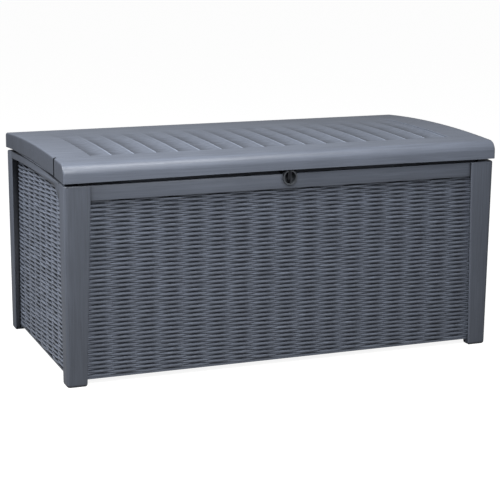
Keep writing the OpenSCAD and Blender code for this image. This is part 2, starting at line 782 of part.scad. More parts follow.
module lid_bracket_seats() for (sx = [-1, 1], s = [-1, 1])
    translate([sx * (bracket_face - upper_screw_x), rod_pivot_y + s * upper_screw_dy, liner_z]) children();

// Ear under the lid liner that the rod's eye meets
module lid_bracket() color(charcoal) difference() {
    union() {
        translate([-bracket_face, rod_pivot_y - upper_plate_l / 2, liner_z - seat - plate_t])
            cube([plate_t + bracket_w, upper_plate_l, plate_t]);
        translate([-bracket_face, rod_pivot_y - ear_r, rod_pivot_z])
            cube([plate_t, 2 * ear_r, liner_z - seat - rod_pivot_z]);
        translate([-bracket_face, rod_pivot_y, rod_pivot_z]) rotate([0, 90, 0])
            cylinder(r = ear_r, h = plate_t);
    }
    for (s = [-1, 1])
        translate([-bracket_face + upper_screw_x, rod_pivot_y + s * upper_screw_dy, rod_pivot_z])
            cylinder(r = screw_r, h = boss_h + liner_z - rod_pivot_z);
}

module strut_bracket_left() strut_bracket();
module strut_bracket_right() mirror([1, 0, 0]) strut_bracket();
module strut_tube_left() strut_tube(-1);
module strut_tube_right() strut_tube(1);
module strut_rod_left() strut_rod(-1);
module strut_rod_right() strut_rod(1);
module strut_clip_left() strut_clip();
module strut_clip_right() mirror([1, 0, 0]) strut_clip();
module lid_bracket_left() lid_bracket();
module lid_bracket_right() mirror([1, 0, 0]) lid_bracket();

// Pan-head screw with its head's underside at the origin, pointing along -z
module screw(l) {
    translate([0, 0, -l]) cylinder(r = screw_r, h = l);
    cylinder(r = 2 * screw_r, h = screw_head_t);
}

module bracket_screws() color(steel) for (m = [0, 1]) mirror([m, 0, 0])
    both_screws_lower() translate([0, 0, plate_t]) screw(lower_screw_l);

module lid_bracket_screws() color(steel)
    lid_bracket_seats() translate([0, 0, -seat - plate_t]) mirror([0, 0, 1]) screw(upper_screw_l);

floor_panel();
front_panel();
back_panel();
left_panel();
right_panel();
post_front_left();
post_front_right();
post_back_left();
post_back_right();
lock_cup();
lock_eye();
lid_shell();
lid_nose_rail();
lid_liner();
lid_lock_tab();
hinge_pin_left();
hinge_pin_middle();
hinge_pin_right();
strut_bracket_left();
strut_bracket_right();
strut_tube_left();
strut_tube_right();
strut_rod_left();
strut_rod_right();
strut_clip_left();
strut_clip_right();
lid_bracket_left();
lid_bracket_right();
bracket_screws();
lid_bracket_screws();
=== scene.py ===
"""Dresses the deck storage box: moulded lid, woven walls, corner posts, lock, hinges and gas struts.

Everything is in metres: the length runs along X, the front faces -Y and the ground is at Z = 0.
"""

import math

import bmesh
import bpy
from mathutils import Matrix, Vector


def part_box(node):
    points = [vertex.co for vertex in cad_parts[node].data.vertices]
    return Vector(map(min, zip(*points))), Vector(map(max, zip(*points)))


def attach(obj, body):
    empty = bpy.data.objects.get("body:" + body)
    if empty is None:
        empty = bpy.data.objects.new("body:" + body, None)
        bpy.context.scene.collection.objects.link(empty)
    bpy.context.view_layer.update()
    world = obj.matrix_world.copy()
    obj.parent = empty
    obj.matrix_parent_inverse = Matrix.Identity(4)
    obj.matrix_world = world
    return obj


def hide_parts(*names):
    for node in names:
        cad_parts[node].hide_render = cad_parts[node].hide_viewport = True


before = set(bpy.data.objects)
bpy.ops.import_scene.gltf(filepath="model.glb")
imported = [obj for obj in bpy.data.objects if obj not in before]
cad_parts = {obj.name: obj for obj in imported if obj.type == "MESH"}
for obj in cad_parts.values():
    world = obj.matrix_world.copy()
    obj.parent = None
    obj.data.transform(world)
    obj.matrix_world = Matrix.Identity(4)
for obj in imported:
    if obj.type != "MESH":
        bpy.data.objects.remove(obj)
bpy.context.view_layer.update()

# ---------------------------------------------------------------- sizes taken from the plain model

lid_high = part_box("lid_shell")[1]
nose_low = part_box("lid_nose_rail")[0]
half_length = lid_high.x
lid_back = lid_high.y
lid_front = nose_low.y
crown_z = lid_high.z
lid_lower_edge = nose_low.z

# ---------------------------------------------------------------- sizes of the mouldings

# lid
ARCH_RADIUS = 4.8
CROWN_FORWARD = 0.04
NOSE_RADIUS = 0.03
BACK_EDGE_RADIUS = 0.012
LID_SEAM_Y = -0.25
LID_SEAM_GAP = 0.0008
LID_WALL = 0.003
END_EDGE_RADIUS = 0.005
EDGE_RISE = 0.003
EDGE_RISE_MARGIN = 0.02
END_RISE = 0.012
SEAM_GROOVE = 0.005
SEAM_GROOVE_DEPTH = 0.0045
# Painted shadow of the joint at the lid's ends: how far it reaches from the seam, and how far in from the
# ends
SEAM_SHADOW_EDGE = 0.0062
SEAM_SHADOW_REACH = 0.008

# seat pattern
SCALLOP_PITCH = 0.064
SCALLOP_COUNT = 17
SCALLOP_DEPTH = 0.006
SCALLOP_RUN = 0.43
RIDGE_WIDTH = 0.003
RIDGE_SOFTNESS = 0.0006
FIELD_HALF = SCALLOP_COUNT * SCALLOP_PITCH / 2
FIELD_STEP = 0.002
FIELD_DEPTH = 0.0045
FIELD_RUN = 0.51
SCALLOP_FADE = 0.12
SEAT_ABOVE_EDGE = 0.03

# hinges
HINGE_Y = 0.3435
HINGE_Z = 0.555
HINGE_PITCH = 0.43
PIN_BORE = 0.00305
KNUCKLE_RADIUS = 0.006
KNUCKLE_LENGTH = 0.03
KNUCKLE_STEPS = 40
WEB_TOP = 0.5673
WEB_THICKNESS = 0.006
WEB_SET_BACK = 0.0015

# walls
FRONT_RAIL_FOOT = 0.515
FRONT_RAIL_MARGIN = 0.001
END_RAIL_FOOT = 0.536
POST_TOP = 0.555
FOOT_LIP_TOP = 0.023
PANEL_WALL = 0.0035
PANEL_EDGE_RADIUS = 0.0012
ARCH_CUT_PITCH = 0.07

# weave
STAKE_PITCH = 0.0685
STAKE_HALF_WIDTH = 0.0042
ROW_PITCH = 0.00607
STRAND_SWING = 0.0026
STRAND_CROWN = 0.0022
STAKE_CROWN = 0.0012
BULGE_HEIGHT = 0.003
STRAND_WANDER = 0.26
PRESSED_SHARE = 0.95

# how close two places must be to count as one
TOUCHING = 1e-6
CLOSE = 1e-5
NEAR = 1e-4

# cuts nearer than this to the end of a piece are left out
END_CLEARANCE = 0.002


# ---------------------------------------------------------------- mesh helpers

def new_piece(name, bm, material, body, replaced=()):
    """Turns a finished bmesh into a piece that rides on a body."""
    mesh = bpy.data.meshes.new(name)
    bm.to_mesh(mesh)
    bm.free()
    piece = bpy.data.objects.new(name, mesh)
    bpy.context.scene.collection.objects.link(piece)
    mesh.materials.append(material)
    shade_by_angle(mesh)
    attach(piece, body)
    if replaced:
        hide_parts(*replaced)


def shade_by_angle(mesh, degrees=38):
    """Smooth shading that keeps edges sharper than the angle."""
    mesh.polygons.foreach_set("use_smooth", [True] * len(mesh.polygons))
    mesh.set_sharp_from_angle(angle=math.radians(degrees))


def round_edges(bm, edges, radius, segments):
    """Rounds edges with a true arc."""
    bmesh.ops.bevel(bm, geom=edges, offset=radius, offset_type="OFFSET", segments=segments,
                    profile=0.5, affect="EDGES", clamp_overlap=True, material=-1)


def cap_boundary(bm):
    """Closes every open loop with one face."""
    rim = [edge for edge in bm.edges if edge.is_boundary]
    bmesh.ops.edgeloop_fill(bm, edges=rim)


def end_rise(y):
    """How far the lower edge of the lid's ends, and the rail below it, arch upwards at a depth."""
    return END_RISE * (1 - (y / lid_back) ** 2)


def mix(a, b, share):
    """The value that lies a share of the way from a to b."""
    return a + (b - a) * share


# ---------------------------------------------------------------- materials

def node(tree, kind, **settings):
    """Adds a shader node; settings name its properties."""
    made = tree.nodes.new(kind)
    for name, value in settings.items():
        setattr(made, name, value)
    return made


def plug(tree, source, target):
    """Leads one socket into another."""
    tree.links.new(source, target)


def object_axes(tree):
    """The X, Y and Z of the object's own coordinates, as the outputs of one node."""
    place = node(tree, "ShaderNodeTexCoord")
    split = node(tree, "ShaderNodeSeparateXYZ")
    plug(tree, place.outputs["Object"], split.inputs["Vector"])
    return split.outputs


def new_material(name, roughness, specular=0.5, metallic=0.0):
    """A material with one Principled shader, whose plain values sit on its own sockets."""
    material = bpy.data.materials.new(name)
    material.use_nodes = True
    tree = material.node_tree
    shader = tree.nodes["Principled BSDF"]
    shader.inputs["Roughness"].default_value = roughness
    shader.inputs["Specular IOR Level"].default_value = specular
    shader.inputs["Metallic"].default_value = metallic
    return material, tree, shader


def stretched_noise(tree, scale, detail=3.0, roughness=0.55):
    """Noise on the object's own coordinates, with a scale along each axis."""
    place = node(tree, "ShaderNodeTexCoord")
    mapping = node(tree, "ShaderNodeMapping")
    mapping.inputs["Scale"].default_value = scale
    noise = node(tree, "ShaderNodeTexNoise")
    noise.inputs["Scale"].default_value = 1.0
    noise.inputs["Detail"].default_value = detail
    noise.inputs["Roughness"].default_value = roughness
    plug(tree, place.outputs["Object"], mapping.inputs["Vector"])
    plug(tree, mapping.outputs["Vector"], noise.inputs["Vector"])
    return noise.outputs["Fac"]


def math_node(tree, operation, a, b=None):
    """One step of arithmetic on sockets or plain numbers."""
    made = node(tree, "ShaderNodeMath", operation=operation)
    for socket, value in zip(made.inputs, (a, b)):
        if value is None:
            continue
        if isinstance(value, (int, float)):
            socket.default_value = value
        else:
            plug(tree, value, socket)
    return made.outputs["Value"]


def map_range(tree, value, from_low, from_high, to_low, to_high):
    """Carries a value from one range into another and holds it there."""
    made = node(tree, "ShaderNodeMapRange")
    plug(tree, value, made.inputs["Value"])
    for socket, number in zip(list(made.inputs)[1:5], (from_low, from_high, to_low, to_high)):
        socket.default_value = number
    return made.outputs["Result"]


def mixed_colour(tree, share, dark, light):
    """Dark where the share is 0 and light where it is 1; each may be a socket or a plain colour."""
    made = node(tree, "ShaderNodeMix", data_type="RGBA")
    plug(tree, share, made.inputs["Factor"])
    for name, value in (("A", dark), ("B", light)):
        socket = [s for s in made.inputs if s.name == name and s.type == "RGBA"][0]
        if isinstance(value, tuple):
            socket.default_value = value + (1.0,)
        else:
            plug(tree, value, socket)
    return [s for s in made.outputs if s.type == "RGBA"][0]


def shade(colour, factor):
    """A colour made lighter or darker."""
    return tuple(channel * factor for channel in colour)


def edge_wear(tree, radius):
    """0 on flat faces and up to 1 on outer edges, from how a rounded normal leaves the true one."""
    rounded = node(tree, "ShaderNodeBevel", samples=4)
    rounded.inputs["Radius"].default_value = radius
    geometry = node(tree, "ShaderNodeNewGeometry")
    product = node(tree, "ShaderNodeVectorMath", operation="DOT_PRODUCT")
    plug(tree, rounded.outputs["Normal"], product.inputs[0])
    plug(tree, geometry.outputs["Normal"], product.inputs[1])
    return map_range(tree, product.outputs["Value"], 0.995, 0.86, 0.0, 1.0)


def shade_openness(tree, distance):
    """How open a place is, for the painted shade in gaps and corners: 1 in the open and down to 0 deep in
    gaps and corners.
    """
    made = node(tree, "ShaderNodeAmbientOcclusion", samples=8)
    made.inputs["Distance"].default_value = distance
    return made.outputs["AO"]


def seat_light_marks(tree):
    """Two masks of painted light for the seat pattern: a painted highlight along its crests, and painted
    shade on the left side of each channel, fading towards its right side.
    """
    axes = object_axes(tree)
    shifted = math_node(tree, "ADD", axes["X"], FIELD_HALF)
    off = math_node(tree, "PINGPONG", shifted, SCALLOP_PITCH / 2)
    crest_highlight = map_range(tree, off, RIDGE_WIDTH / 2, RIDGE_WIDTH, 1.0, 0.0)
    across = math_node(tree, "FLOORED_MODULO", shifted, SCALLOP_PITCH)
    hollow_shade_ramp = map_range(tree, across, 0.0, 0.8 * SCALLOP_PITCH, 1.0, 0.0)
    behind_seam = math_node(tree, "GREATER_THAN", axes["Y"], LID_SEAM_Y + 2.0 * FIELD_STEP)
    reach = math_node(tree, "LESS_THAN", math_node(tree, "ABSOLUTE", axes["X"]), FIELD_HALF)
    held = math_node(tree, "MULTIPLY", behind_seam, reach)
    front = map_range(tree, axes["Y"], LID_SEAM_Y, LID_SEAM_Y + SCALLOP_RUN, 1.0, 0.0)
    deep = map_range(tree, axes["Y"], LID_SEAM_Y + 0.5 * SCALLOP_RUN, LID_SEAM_Y + 0.95 * SCALLOP_RUN,
                     1.0, 0.0)
    crest_highlight = math_node(tree, "MULTIPLY", crest_highlight, math_node(tree, "MULTIPLY", front, held))
    return crest_highlight, math_node(tree, "MULTIPLY", hollow_shade_ramp, math_node(tree, "MULTIPLY", deep, held))


def seam_shadow(tree):
    """Painted shadow in the joint between the two mouldings of the lid: 1 in the joint, where it shows at
    the ends.
    """
    axes = object_axes(tree)
    off = math_node(tree, "ABSOLUTE", math_node(tree, "SUBTRACT", axes["Y"], LID_SEAM_Y))
    joint = map_range(tree, off, SEAM_GROOVE, SEAM_SHADOW_EDGE, 1.0, 0.0)
    reach = math_node(tree, "ABSOLUTE", axes["X"])
    at_end = math_node(tree, "GREATER_THAN", reach, half_length - SEAM_SHADOW_REACH)
    return math_node(tree, "MULTIPLY", joint, at_end)


def end_faces(tree):
    """1 on the lid's two end faces, 0 on all the rest of the lid."""
    reach = math_node(tree, "ABSOLUTE", object_axes(tree)["X"])
    return map_range(tree, reach, half_length - 0.6 * END_EDGE_RADIUS, half_length - 2 * NEAR, 0.0, 1.0)


def fine_bump(tree, shader, height, strength, depth):
    """Small relief on a shader, from a height between 0 and 1 and its depth in metres."""
    bump = node(tree, "ShaderNodeBump")
    bump.inputs["Strength"].default_value = strength
    bump.inputs["Distance"].default_value = depth
    plug(tree, height, bump.inputs["Height"])
    plug(tree, bump.outputs["Normal"], shader.inputs["Normal"])


# How glossy the resin is, how far painted shade reaches into its gaps, how much its edges wear and how wide
# they are, how deep its bump
RESIN_SPECULAR = 0.42
RESIN_SHADE_REACH = 0.012
WEAVE_SHADE_REACH = 0.008
RESIN_WEAR = 0.2
WORN_EDGE = 0.0016
WORN_FITTING_EDGE = 0.0008
GRAIN_DEPTH = 0.0002
FIBRE_DEPTH = 0.00018
FITTING_BUMP_DEPTH = 0.00006


def resin(name, colour, grain_scale, roughness=0.5, streak=0.16, seat=False):
    """Moulded resin with a faint wood grain that runs along the axis with the smallest scale.

    Painted shade darkens its gaps and corners. With seat, the lid's marks come on top: painted shade on
    one side of the hollows, painted highlights along the crests, coarse grain with painted shade on the end
    faces and a painted shadow in the joint.
    """
    material, tree, shader = new_material(name, roughness, specular=RESIN_SPECULAR)
    streaks = stretched_noise(tree, grain_scale, detail=6.0, roughness=0.62)
    cloud = stretched_noise(tree, (5.0, 5.0, 5.0), detail=2.0)
    speckle = stretched_noise(tree, (1400.0, 1400.0, 1400.0), detail=2.0)
    tone = math_node(tree, "ADD", math_node(tree, "MULTIPLY", streaks, 0.7),
                     math_node(tree, "MULTIPLY", cloud, 0.3))
    share = map_range(tree, tone, 0.36, 0.66, 0.0, 1.0)
    body_colour = mixed_colour(tree, share, shade(colour, 1.0 - streak), shade(colour, 1.0 + streak))
    lightened_share = math_node(tree, "MULTIPLY", edge_wear(tree, WORN_EDGE), RESIN_WEAR)
    # Painted shade on the left side of each of the seat's channels, varied by the grain, and a painted
    # highlight along their ridges, which joins the edge wear
    if seat:
        crest_highlight, hollow_shade = seat_light_marks(tree)
        shade_strength = map_range(tree, streaks, 0.42, 0.6, 0.95, 0.4)
        hollow_shade_share = math_node(tree, "MULTIPLY", hollow_shade, shade_strength)
        body_colour = mixed_colour(tree, hollow_shade_share, body_colour, shade(colour, 0.35))
        lightened_share = math_node(tree, "MAXIMUM", lightened_share, math_node(tree, "MULTIPLY", crest_highlight, 0.8))
    bright = mixed_colour(tree, lightened_share, body_colour, shade(colour, 2.2))
    # The lid's end faces get coarse grain and are painted darker as painted shade
    if seat:
        cross_grain = stretched_noise(tree, (200.0, 260.0, 14.0), detail=4.0)
        end_grain_and_shade = mixed_colour(tree, cross_grain, shade(colour, 0.3), shade(colour, 0.9))
        bright = mixed_colour(tree, end_faces(tree), bright, end_grain_and_shade)
    # Painted shade in gaps and corners, from how open each place is
    unshaded_share = map_range(tree, shade_openness(tree, RESIN_SHADE_REACH), 0.45, 0.95, 0.0, 1.0)
    surface = mixed_colour(tree, unshaded_share, shade(colour, 0.3), bright)
    # Painted shadow, nearly black, in the joint where the two mouldings meet at the ends
    if seat:
        seam_shade = seam_shadow(tree)
        surface = mixed_colour(tree, seam_shade, surface, shade(colour, 0.03))
    plug(tree, surface, shader.inputs["Base Color"])
    satin = map_range(tree, tone, 0.3, 0.7, roughness + 0.06, roughness - 0.05)
    if seat:
        satin = math_node(tree, "ADD", satin, math_node(tree, "MULTIPLY", hollow_shade_share, 0.15))
        shine = math_node(tree, "MULTIPLY", map_range(tree, hollow_shade_share, 0.0, 0.9, RESIN_SPECULAR, 0.2),
                          map_range(tree, seam_shade, 0.0, 1.0, 1.0, 0.05))
        plug(tree, shine, shader.inputs["Specular IOR Level"])
    plug(tree, satin, shader.inputs["Roughness"])
    height = math_node(tree, "ADD", streaks, math_node(tree, "MULTIPLY", speckle, 0.25))
    fine_bump(tree, shader, height, 0.6, GRAIN_DEPTH)
    return material


def woven_resin(name, colour, along, painted_gap_shade):
    """Resin strands: each length between two stakes has its own tone and a fibre along it, with painted
    highlights in thin streaks and uneven painted shade in the gaps.

    along names the axis that the strands follow; painted_gap_shade says how dark the painted shade in the
    gaps between them is.
    """
    material, tree, shader = new_material(name, 0.5, specular=RESIN_SPECULAR)
    axes = object_axes(tree)
    row = math_node(tree, "FLOOR", math_node(tree, "DIVIDE", axes["Z"], ROW_PITCH))
    stakes_along = math_node(tree, "DIVIDE", axes[along], STAKE_PITCH)
    cell = math_node(tree, "FLOOR", math_node(tree, "ADD", stakes_along, 0.5))
    joined = node(tree, "ShaderNodeCombineXYZ")
    plug(tree, row, joined.inputs["X"])
    plug(tree, cell, joined.inputs["Y"])
    random = node(tree, "ShaderNodeTexWhiteNoise", noise_dimensions="3D")
    plug(tree, joined.outputs["Vector"], random.inputs["Vector"])
    fibre = stretched_noise(tree, (60.0, 60.0, 900.0), detail=3.0)
    tone = math_node(tree, "ADD", math_node(tree, "MULTIPLY", random.outputs["Value"], 0.5),
                     math_node(tree, "MULTIPLY", fibre, 0.5))
    strand = mixed_colour(tree, tone, shade(colour, 0.95), shade(colour, 1.35))
    # Painted shade in the gaps between strands, uneven so that some gaps are darker than others
    uneven = stretched_noise(tree, (34.0, 34.0, 170.0), detail=4.0)
    shade_unevenness = map_range(tree, uneven, 0.36, 0.64, 0.2, -0.2)
    unshaded_place = math_node(tree, "ADD", shade_openness(tree, WEAVE_SHADE_REACH), shade_unevenness)
    unshaded_share = map_range(tree, unshaded_place, 0.4, 0.95, 0.0, 1.0)
    # Painted highlight: thin bright streaks along the strands
    gleam_streaks = stretched_noise(tree, (28.0, 28.0, 420.0), detail=2.0)
    painted_gleam = map_range(tree, gleam_streaks, 0.56, 0.72, 0.0, 0.8)
    strand = mixed_colour(tree, painted_gleam, strand, shade(colour, 1.9))
    surface = mixed_colour(tree, unshaded_share, shade(colour, painted_gap_shade), strand)
    plug(tree, surface, shader.inputs["Base Color"])
    plug(tree, map_range(tree, fibre, 0.3, 0.7, 0.42, 0.34), shader.inputs["Roughness"])
    fine_bump(tree, shader, fibre, 0.5, FIBRE_DEPTH)
    return material


def plain_finish(name, colour, roughness, metallic=0.0, mottling=0.08, wear=0.1):
    """Dark fittings, black paint and zinc plate: mottled colour, fine bump and edges lightened by wear."""
    material, tree, shader = new_material(name, roughness, metallic=metallic)
    mottle = stretched_noise(tree, (90.0, 90.0, 90.0), detail=5.0)
    fine = stretched_noise(tree, (1800.0, 1800.0, 1800.0), detail=2.0)
    share = map_range(tree, mottle, 0.35, 0.65, 0.0, 1.0)
    body_colour = mixed_colour(tree, share, shade(colour, 1 - mottling), shade(colour, 1 + mottling))
    lightened_share = math_node(tree, "MULTIPLY", edge_wear(tree, WORN_FITTING_EDGE), wear)
    plug(tree, mixed_colour(tree, lightened_share, body_colour, shade(colour, 2.5)), shader.inputs["Base Color"])
    plug(tree, map_range(tree, mottle, 0.3, 0.7, roughness + 0.07, roughness - 0.05),
         shader.inputs["Roughness"])
    fine_bump(tree, shader, fine, 0.4, FITTING_BUMP_DEPTH)
    return material


SLATE = (0.100, 0.114, 0.145)
# Scales of the grain; the smallest is along it
ALONG_X = (7.0, 160.0, 240.0)
ALONG_Y = (160.0, 7.0, 240.0)
ALONG_Z = (240.0, 240.0, 7.0)

lid_resin = resin("lid_resin", SLATE, ALONG_X, roughness=0.4, seat=True)
rail_resin = resin("rail_resin", shade(SLATE, 0.86), ALONG_X)
# Painted shade: the end walls are the same resin as the rails, painted darker
end_resin = resin("end_resin", shade(SLATE, 0.62), ALONG_Y)
post_resin = resin("post_resin", shade(SLATE, 0.7), ALONG_Z)
inner_resin = resin("inner_resin", shade(SLATE, 0.85), (60.0, 60.0, 60.0), roughness=0.6, streak=0.05)
weave_front_resin = woven_resin("weave_front_resin", shade(SLATE, 0.93), "X", 0.4)
# Painted light: the end weave is the same resin as the front weave, painted lighter, with darker painted
# shade in its gaps
weave_end_resin = woven_resin("weave_end_resin", shade(SLATE, 1.3), "Y", 0.1)
fitting_resin = plain_finish("fitting_resin", (0.018, 0.02, 0.025), 0.42)
cup_resin = plain_finish("cup_resin", (0.045, 0.05, 0.058), 0.45)
black_paint = plain_finish("black_paint", (0.012, 0.012, 0.014), 0.32)
zinc = plain_finish("zinc_plate", (0.55, 0.56, 0.58), 0.32, metallic=1.0, mottling=0.14, wear=0.0)


# ---------------------------------------------------------------- woven walls

# Places along one stake pitch, close together where a strand crosses a stake
STAKE_STEPS = (0.0, 0.035, 0.062, 0.1, 0.3, 0.5, 0.7, 0.9, 0.938, 0.965)
# Places across one strand, from its lower edge to its upper one
STRAND_STEPS = (0.0, 0.22, 0.5, 0.78)


def woven_relief(along, row_share, row):
    """How far the woven face stands out at one place: a strand, or the stake that shows between two."""
    phase = math.cos(math.pi * (along / STAKE_PITCH + row))
    across = 2 * row_share - 1
    strand = STRAND_SWING * phase + STRAND_CROWN * math.sqrt(max(0.0, 1 - abs(across) ** 2.4))
    nearest = along - STAKE_PITCH * round(along / STAKE_PITCH)
    bulge = max(0.0, 1 - (nearest / STAKE_HALF_WIDTH) ** 2)
    stake = -STRAND_SWING + STAKE_CROWN * math.sqrt(bulge)
    return max(strand, stake if bulge > 0 else strand)


def woven_wall(name, half_width, foot, head, skin_foot, skin_head, material, side_turn):
    """One woven wall between two posts, drawn facing -Y and then turned about Z to its side.

    skin_foot and skin_head say how far the woven face lies from the box's centre at the foot
    and under the rail.
    """
    rows = round((head - foot) / ROW_PITCH)
    pitch = (head - foot) / rows
    stakes = math.ceil(half_width / STAKE_PITCH)
    columns = [STAKE_PITCH * (cell + step) for cell in range(-stakes, stakes) for step in STAKE_STEPS]
    columns = [-half_width] + [x for x in columns if abs(x) < half_width - END_CLEARANCE] + [half_width]
    lines = [(row, step) for row in range(rows) for step in STRAND_STEPS] + [(rows - 1, 1.0)]
    bm = bmesh.new()
    made = bmesh.ops.create_grid(bm, x_segments=len(columns) - 1, y_segments=len(lines) - 1, size=0.5)
    for vert in made["verts"]:
        column = columns[round((vert.co.x + 0.5) * (len(columns) - 1))]
        row, share = lines[round((vert.co.y + 0.5) * (len(lines) - 1))]
        wander = STRAND_WANDER * pitch * math.cos(math.pi * (column / STAKE_PITCH + row))
        if share == 0.0:
            wander = -wander if row > 0 else 0.0
        elif share == 1.0:
            wander = 0.0
        else:
            wander *= 2 * share - 1
        z = foot + (row + share) * pitch + wander
        skin = mix(skin_foot, skin_head, (z - foot) / (head - foot))
        vert.co = (column, -skin - woven_relief(column, share, row), z)
    rim = [edge for edge in bm.edges if edge.is_boundary]
    grown = bmesh.ops.extrude_edge_only(bm, edges=rim)["geom"]
    for vert in [item for item in grown if isinstance(item, bmesh.types.BMVert)]:
        vert.co.y = -mix(skin_foot, skin_head, (vert.co.z - foot) / (head - foot)) + PANEL_WALL / 2
    cap_boundary(bm)
    bmesh.ops.rotate(bm, verts=bm.verts, cent=(0, 0, 0), matrix=Matrix.Rotation(side_turn, 3, "Z"))
    bmesh.ops.recalc_face_normals(bm, faces=bm.faces)
    new_piece(name, bm, material, "root")


# Distances of the woven faces from the box's centre
FRONT_SKIN_FOOT, FRONT_SKIN_HEAD = 0.321, 0.327
BACK_SKIN = 0.327
END_SKIN_FOOT, END_SKIN_HEAD = 0.625, 0.618
# Half widths of the woven faces
FRONT_WEAVE_HALF = 0.595
END_WEAVE_HALF = 0.298

woven_wall("weave_front", FRONT_WEAVE_HALF, FOOT_LIP_TOP, FRONT_RAIL_FOOT,
           FRONT_SKIN_FOOT, FRONT_SKIN_HEAD, weave_front_resin, 0.0)
woven_wall("weave_back", FRONT_WEAVE_HALF, FOOT_LIP_TOP, FRONT_RAIL_FOOT,
           BACK_SKIN, BACK_SKIN, weave_front_resin, math.pi)
woven_wall("weave_right", END_WEAVE_HALF, FOOT_LIP_TOP, END_RAIL_FOOT + END_RISE,
           END_SKIN_FOOT, END_SKIN_HEAD, weave_end_resin, math.pi / 2)
woven_wall("weave_left", END_WEAVE_HALF, FOOT_LIP_TOP, END_RAIL_FOOT + END_RISE,
           END_SKIN_FOOT, END_SKIN_HEAD, weave_end_resin, -math.pi / 2)


# ---------------------------------------------------------------- lid

def arch_z(y):
    """Height of the lid's arch at depth y."""
    return crown_z - ARCH_RADIUS + math.sqrt(ARCH_RADIUS ** 2 - (y + CROWN_FORWARD) ** 2)


def arc(centre, radius, start, end, steps):
    """Points on an arc in the Y-Z plane; angles in degrees, 0 along +Y, 90 upwards."""
    turns = [math.radians(mix(start, end, step / steps)) for step in range(steps + 1)]
    return [(centre[0] + radius * math.cos(turn), centre[1] + radius * math.sin(turn)) for turn in turns]


def arch_fillet(y, radius):
    """Centre of a round that touches the arch from inside, and the angle at which it does."""
    rise = math.sqrt((ARCH_RADIUS - radius) ** 2 - (y + CROWN_FORWARD) ** 2)
    return (y, crown_z - ARCH_RADIUS + rise), math.degrees(math.atan2(rise, y + CROWN_FORWARD))


def arch_run(start, end, steps):
    """Points along the arch between two depths, without the last one."""
    return [(y, arch_z(y)) for y in [mix(start, end, step / steps) for step in range(steps)]]


def shell_profile():
    """Side view of the lid behind the seam, from the seam over the top to the lower back edge."""
    centre, meet = arch_fillet(lid_back - BACK_EDGE_RADIUS, BACK_EDGE_RADIUS)
    seam = LID_SEAM_Y + LID_SEAM_GAP / 2
    round_start = centre[0] + BACK_EDGE_RADIUS * math.cos(math.radians(meet))
    top = [(seam, arch_z(seam))] + arch_run(seam + SEAM_GROOVE, round_start, 60)
    return top + arc(centre, BACK_EDGE_RADIUS, meet, 0, 8) + [(lid_back, lid_lower_edge)]


def nose_profile():
    """Side view of the front moulding, from its lower front edge over the nose to the seam."""
    centre, meet = arch_fillet(lid_front + NOSE_RADIUS, NOSE_RADIUS)
    seam = LID_SEAM_Y - LID_SEAM_GAP / 2
    nose = arc(centre, NOSE_RADIUS, 180, meet, 18)
    top = arch_run(nose[-1][0], seam - SEAM_GROOVE, 6)[1:]
    joint = [(y, arch_z(y)) for y in (seam - SEAM_GROOVE, seam)]
    return [(lid_front, lid_lower_edge)] + nose + top + joint


def profile_normals(profile):
    """Outward direction at each point of a side view that runs from front to back."""
    normals = []
    for index in range(len(profile)):
        before = Vector(profile[max(index - 1, 0)])
        after = Vector(profile[min(index + 1, len(profile) - 1)])
        along = (after - before).normalized()
        normals.append((-along.y, along.x))
    return normals


# Places across one scallop, close together beside its ridges
SCALLOP_STEPS = (0.0, 0.012, 0.03, 0.06, 0.1, 0.18, 0.28, 0.39, 0.5,
                 0.61, 0.72, 0.82, 0.9, 0.94, 0.97, 0.988)
# Places across the step at each side of the field
FIELD_STEP_SHARES = (0.0, 0.25, 0.4, 0.6, 0.75, 1.0)
# Distances from the field's side of the cuts in the plain margin beside it
MARGIN_CUTS = (0.012, 0.04)
LAST_CUT = 0.02


def scallop_stations():
    """Places along X where the seat pattern is cut, close together at the ridges and the step."""
    inner = [(cell + step) * SCALLOP_PITCH - FIELD_HALF
             for cell in range(SCALLOP_COUNT) for step in SCALLOP_STEPS]
    step_wall = [FIELD_HALF + FIELD_STEP * share for share in FIELD_STEP_SHARES]
    band = step_wall + [FIELD_HALF + cut for cut in MARGIN_CUTS] + [half_length - LAST_CUT]
    return [-x for x in reversed(band)][:-1] + inner + band


def smooth_share(value):
    """0 below 0 and 1 above 1, with a soft rise between."""
    held = min(1.0, max(0.0, value))
    return held * held * (3 - 2 * held)


def seat_drop(x, y):
    """How deep the seat pattern lies below the arch: a shallow field with scalloped channels.

    Both are deepest at the seam and rise out of the arch towards the back.
    """
    inside = smooth_share((FIELD_HALF + FIELD_STEP - abs(x)) / FIELD_STEP)
    behind_seam = y - LID_SEAM_Y
    field = FIELD_DEPTH * max(0.0, 1 - (behind_seam / FIELD_RUN) ** 2)
    bottom = SCALLOP_DEPTH * (1 - (behind_seam / SCALLOP_RUN) ** 2)
    section = ((SCALLOP_PITCH - RIDGE_WIDTH) ** 2 / 4 + SCALLOP_DEPTH ** 2) / (2 * SCALLOP_DEPTH)
    off = (x + FIELD_HALF) % SCALLOP_PITCH - SCALLOP_PITCH / 2
    channel = bottom - off ** 2 / (2 * section)
    rounded = (channel + math.sqrt(channel ** 2 + RIDGE_SOFTNESS ** 2)) / 2
    fade = smooth_share((SCALLOP_RUN - behind_seam) / SCALLOP_FADE + 0.5)
    return inside * (field + rounded * fade)


